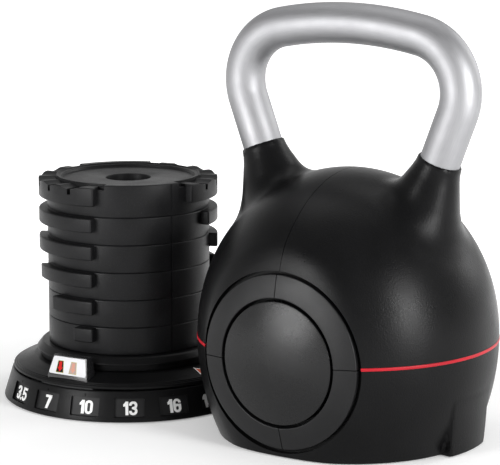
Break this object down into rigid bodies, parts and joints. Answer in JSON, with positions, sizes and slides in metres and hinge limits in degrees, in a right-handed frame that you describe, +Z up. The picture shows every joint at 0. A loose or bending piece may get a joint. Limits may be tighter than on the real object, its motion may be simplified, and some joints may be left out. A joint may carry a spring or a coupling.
{
  "type": "adjustable kettlebell set",
  "caption": "Adjustable kettlebell: hollow bell shell with a bent tube handle and side discs, beside its dial dock holding a stack of round tabbed weight plates.",
  "frame": {"origin": "on the floor, at the middle of the overall box", "axes": "+Z up; +X along the handle, from the dock towards the bell; the bell's front disc faces -Y"},
  "size_m": [0.466, 0.2328, 0.3579],
  "materials": {
    "tube_steel": "satin, brushed round the tube",
    "plug_plastic": "matte",
    "screw_steel": "zinc plated",
    "shell_black": "fine grained satin",
    "trim_red": "semi-gloss",
    "ring_black": "fine matte",
    "cap_black": "fine matte",
    "carrier_steel": "plated sheet",
    "base_plastic": "moulded matte",
    "rubber_black": "matte",
    "plate_coating": "dark textured powder coat",
    "dock_black": "fine satin",
    "dial_dark": "matte",
    "mark_white": "printed",
    "glide_white": "smooth",
    "pointer_orange": "printed",
    "spring_steel": "bright wire",
    "button_black": "polished",
    "label_white": "satin film",
    "icon_ground": "printed",
    "icon_red": "printed"
  },
  "bodies": {
    "dock": {"dial_skirt": "dock_black", "dial_strip": "dial_dark", "dial_numerals": "mark_white", "base_plate": "base_plastic", "skirt_screws": "screw_steel", "dock_feet": "rubber_black", "bearing_hub": "base_plastic", "glide_ring": "glide_white", "stack_seat": "dock_black", "seat_screws": "screw_steel", "centre_spigot": "dock_black", "lock_ring": "carrier_steel"},
    "turntable": {"turntable": "dock_black", "pointer_border": "mark_white", "pointer_fill": "pointer_orange", "button_guide": "base_plastic", "guide_screws": "screw_steel", "button_spring": "spring_steel"},
    "button": {"lock_button": "button_black", "button_label": "label_white", "icon_plates": "icon_ground", "icon_arrows": "icon_red", "lock_pin": "base_plastic"},
    "plate_1": {"weight_plate_1": "plate_coating"},
    "plate_2": {"weight_plate_2": "plate_coating"},
    "plate_3": {"weight_plate_3": "plate_coating"},
    "plate_4": {"weight_plate_4": "plate_coating"},
    "plate_5": {"weight_plate_5": "plate_coating"},
    "plate_6": {"weight_plate_6": "plate_coating"},
    "bell": {"handle_tube": "tube_steel", "handle_plugs": "plug_plastic", "handle_bolts": "screw_steel", "handle_washers": "screw_steel", "upper_shell_right": "shell_black", "upper_shell_left": "shell_black", "lower_shell": "shell_black", "trim_band_right": "trim_red", "trim_band_left": "trim_red", "shell_screws": "screw_steel", "front_ring_upper_right": "ring_black", "front_ring_upper_left": "ring_black", "front_ring_lower_left": "ring_black", "front_ring_lower_right": "ring_black", "front_cap": "cap_black", "front_disc_screws": "screw_steel", "rear_ring_upper_right": "ring_black", "rear_ring_upper_left": "ring_black", "rear_ring_lower_left": "ring_black", "rear_ring_lower_right": "ring_black", "rear_cap": "cap_black", "rear_disc_screws": "screw_steel", "carrier_plate": "carrier_steel", "carrier_screws": "screw_steel", "hook_rack_right": "carrier_steel", "hook_rack_left": "carrier_steel", "rack_screws": "screw_steel", "base_ring": "base_plastic", "rim_pad": "rubber_black", "base_ring_screws": "screw_steel"}
  },
  "joints": [
    {"name": "turntable_turn", "type": "hinge", "parent": "dock", "child": "turntable", "pos_m": [-0.121, 0, 0], "axis": [0, 0, 1], "range_deg": [-103.5, 0]},
    {"name": "button_press", "type": "slide", "parent": "turntable", "child": "button", "axis": [0, 0, -1], "range_m": [0, 0.004], "stiffness_N_per_m": 450, "springref_m": -0.004, "deforming": ["button_spring"]},
    {"name": "plate_1_lift", "type": "slide", "parent": "dock", "child": "plate_1", "axis": [0, 0, 1], "range_m": [0, 0.04]},
    {"name": "plate_2_lift", "type": "slide", "parent": "plate_1", "child": "plate_2", "axis": [0, 0, 1], "range_m": [0, 0.04]},
    {"name": "plate_3_lift", "type": "slide", "parent": "plate_2", "child": "plate_3", "axis": [0, 0, 1], "range_m": [0, 0.04]},
    {"name": "plate_4_lift", "type": "slide", "parent": "plate_3", "child": "plate_4", "axis": [0, 0, 1], "range_m": [0, 0.04]},
    {"name": "plate_5_lift", "type": "slide", "parent": "plate_4", "child": "plate_5", "axis": [0, 0, 1], "range_m": [0, 0.04]},
    {"name": "plate_6_lift", "type": "slide", "parent": "plate_5", "child": "plate_6", "axis": [0, 0, 1], "range_m": [0, 0.04]},
    {"name": "bell_lift", "type": "slide", "parent": "dock", "child": "bell", "axis": [0, 0, 1], "range_m": [0, 0.25]}
  ]
}
